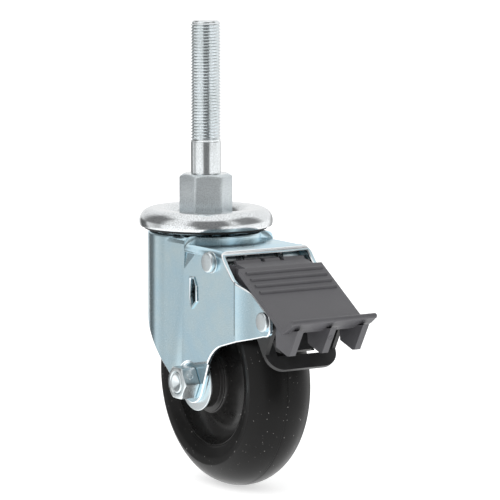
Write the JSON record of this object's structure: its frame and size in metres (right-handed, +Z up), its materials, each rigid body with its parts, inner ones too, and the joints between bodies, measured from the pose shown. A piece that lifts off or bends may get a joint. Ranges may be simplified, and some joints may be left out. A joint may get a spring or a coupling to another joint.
{
  "type": "swivel castor",
  "caption": "Swivel castor with a threaded stem, pressed steel fork, solid tyre and a foot brake that locks wheel and swivel.",
  "frame": {"origin": "on the swivel axis, in the plane of the hexagon's top shoulder", "axes": "+Z up along the stem, +X towards the trailing side and the brake pedal, +Y along the axle"},
  "size_m": [0.1396, 0.0626, 0.2129],
  "materials": {
    "stem_steel": "bright zinc plate",
    "race_steel": "bright zinc plate",
    "fork_steel": "bluish zinc plate, satin",
    "fixing_steel": "zinc plate",
    "inner_steel": "plain hardened steel",
    "ball_steel": "polished",
    "seal_rubber": "matte",
    "tyre_rubber": "satin rubber",
    "wheel_plastic": "semi-gloss moulded",
    "bush_plastic": "nylon",
    "pedal_plastic": "fine moulded texture",
    "lever_steel": "black coating",
    "shoe_plastic": "matte"
  },
  "bodies": {
    "head": {"threaded_stem": "stem_steel", "upper_race_cup": "race_steel", "dust_seal": "seal_rubber", "upper_balls": "ball_steel", "lower_balls": "ball_steel", "lower_race": "inner_steel", "lock_ring": "inner_steel"},
    "swivel_fork": {"fork": "fork_steel", "upper_rivet": "fixing_steel", "lower_rivet": "fixing_steel", "axle_bolt": "fixing_steel", "axle_nut": "fixing_steel", "side_discs": "fixing_steel", "axle_sleeve": "fixing_steel", "rivet_spacers": "fixing_steel", "lock_springs": "inner_steel"},
    "wheel": {"tyre": "tyre_rubber", "wheel_centre": "wheel_plastic", "hub_bushes": "bush_plastic", "thread_guards": "wheel_plastic"},
    "lock_lever": {"lock_lever": "inner_steel"},
    "brake_pedal": {"pedal_cover": "pedal_plastic", "brake_lever": "lever_steel", "brake_shoe": "shoe_plastic"}
  },
  "joints": [
    {"name": "swivel", "type": "hinge", "parent": "head", "child": "swivel_fork", "pos_m": [0, 0, 0], "axis": [0, 0, 1], "continuous": true},
    {"name": "wheel_spin", "type": "hinge", "parent": "swivel_fork", "child": "wheel", "pos_m": [0.0249, 0, -0.0922], "axis": [0, 1, 0], "continuous": true},
    {"name": "pedal_press", "type": "hinge", "parent": "swivel_fork", "child": "brake_pedal", "pos_m": [0.08403, 0, -0.05723], "axis": [0, 1, 0], "range_deg": [0, 17]},
    {"name": "swivel_lock", "type": "hinge", "parent": "swivel_fork", "child": "lock_lever", "pos_m": [0.044, 0, -0.035], "axis": [0, 1, 0], "range_deg": [-5.7, 0]}
  ],
  "couplings": [
    {"joint": "swivel_lock", "follows": "pedal_press", "ratio": -0.33529}
  ]
}
